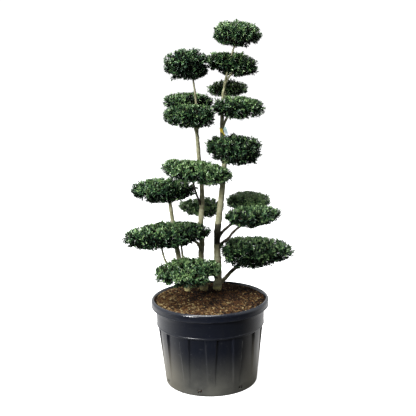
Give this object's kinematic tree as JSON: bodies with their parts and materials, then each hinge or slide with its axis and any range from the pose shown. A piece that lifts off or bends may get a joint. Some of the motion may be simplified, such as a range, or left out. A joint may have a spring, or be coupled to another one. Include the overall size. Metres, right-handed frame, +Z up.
{
  "type": "potted japanese holly",
  "caption": "Clipped evergreen shrub with leaning bare stems that carry flat clouds of small leaves, in a fluted round nursery pot filled with compost.",
  "frame": {"origin": "centre of the pot's flat underside, which stands on the ground", "axes": "+Z is up, -Y is the side the plant is looked at from, +X is to that viewer's right"},
  "size_m": [0.8824, 0.6141, 1.8062],
  "materials": {
    "pot_plastic": "satin, dusty low down",
    "bark_compost": "rough bark chips",
    "holly_bark": "matt, blotched",
    "holly_leaves": "semi-gloss"
  },
  "bodies": {
    "root": {"pot": "pot_plastic", "compost": "bark_compost", "stem_left": "holly_bark", "stem_middle": "holly_bark", "stem_right": "holly_bark", "bough_low_front": "holly_bark", "bough_wide_left_outer": "holly_bark", "bough_wide_left_inner": "holly_bark", "bough_wide_right": "holly_bark", "bough_low_right": "holly_bark", "bough_front_right": "holly_bark", "bough_back_right": "holly_bark", "bough_inner_back": "holly_bark", "bough_middle": "holly_bark", "bough_fourth_right": "holly_bark", "bough_third_right": "holly_bark", "bough_second_left": "holly_bark", "bough_second_left_back": "holly_bark", "bough_small_back_right": "holly_bark", "bough_second_right": "holly_bark", "cloud_low_front": "holly_leaves", "cloud_wide_left": "holly_leaves", "cloud_upper_left": "holly_leaves", "cloud_middle": "holly_leaves", "cloud_inner_back": "holly_leaves", "cloud_back_right": "holly_leaves", "cloud_front_right": "holly_leaves", "cloud_low_right": "holly_leaves", "cloud_fourth_right": "holly_leaves", "cloud_third_right": "holly_leaves", "cloud_small_back_right": "holly_leaves", "cloud_second_right": "holly_leaves", "cloud_top": "holly_leaves", "cloud_top_left": "holly_leaves", "cloud_second_left_back": "holly_leaves", "cloud_second_left": "holly_leaves"}
  },
  "joints": []
}
